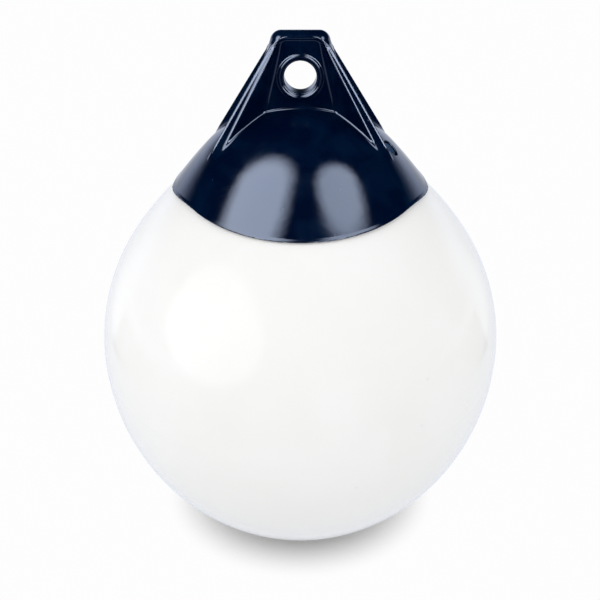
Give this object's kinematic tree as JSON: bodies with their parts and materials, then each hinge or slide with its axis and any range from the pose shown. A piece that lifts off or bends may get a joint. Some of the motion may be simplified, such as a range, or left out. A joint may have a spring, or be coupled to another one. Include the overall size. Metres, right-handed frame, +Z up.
{
  "type": "inflatable mooring buoy",
  "caption": "Round inflatable mooring buoy: white vinyl ball under a navy moulded rope hold with a plate eye, corner fins and a screw-plug filling valve.",
  "frame": {"origin": "on the ball's axis at the line where the buoy floats empty, 61.6 mm above its lowest point", "axes": "+Z up through the eye, Y along the eye's hole, +X towards the filling valve's side"},
  "size_m": [0.295, 0.2948, 0.3907],
  "materials": {
    "ball_vinyl": "glossy moulded vinyl, off-white",
    "rope_hold_vinyl": "glossy moulded vinyl, deep navy",
    "valve_plastic": "hard plastic insert, dark blue",
    "seal_rubber": "black rubber",
    "plug_plastic": "hard plastic plug, blue"
  },
  "bodies": {
    "buoy": {"ball": "ball_vinyl", "rope_hold": "rope_hold_vinyl", "valve_seat": "valve_plastic", "valve_seal": "seal_rubber"},
    "plug": {"valve_plug": "plug_plastic"}
  },
  "joints": [
    {"name": "plug_out", "type": "slide", "parent": "buoy", "child": "plug", "axis": [0.6608, -0.1405, 0.7373], "range_m": [0, 0.02]}
  ]
}
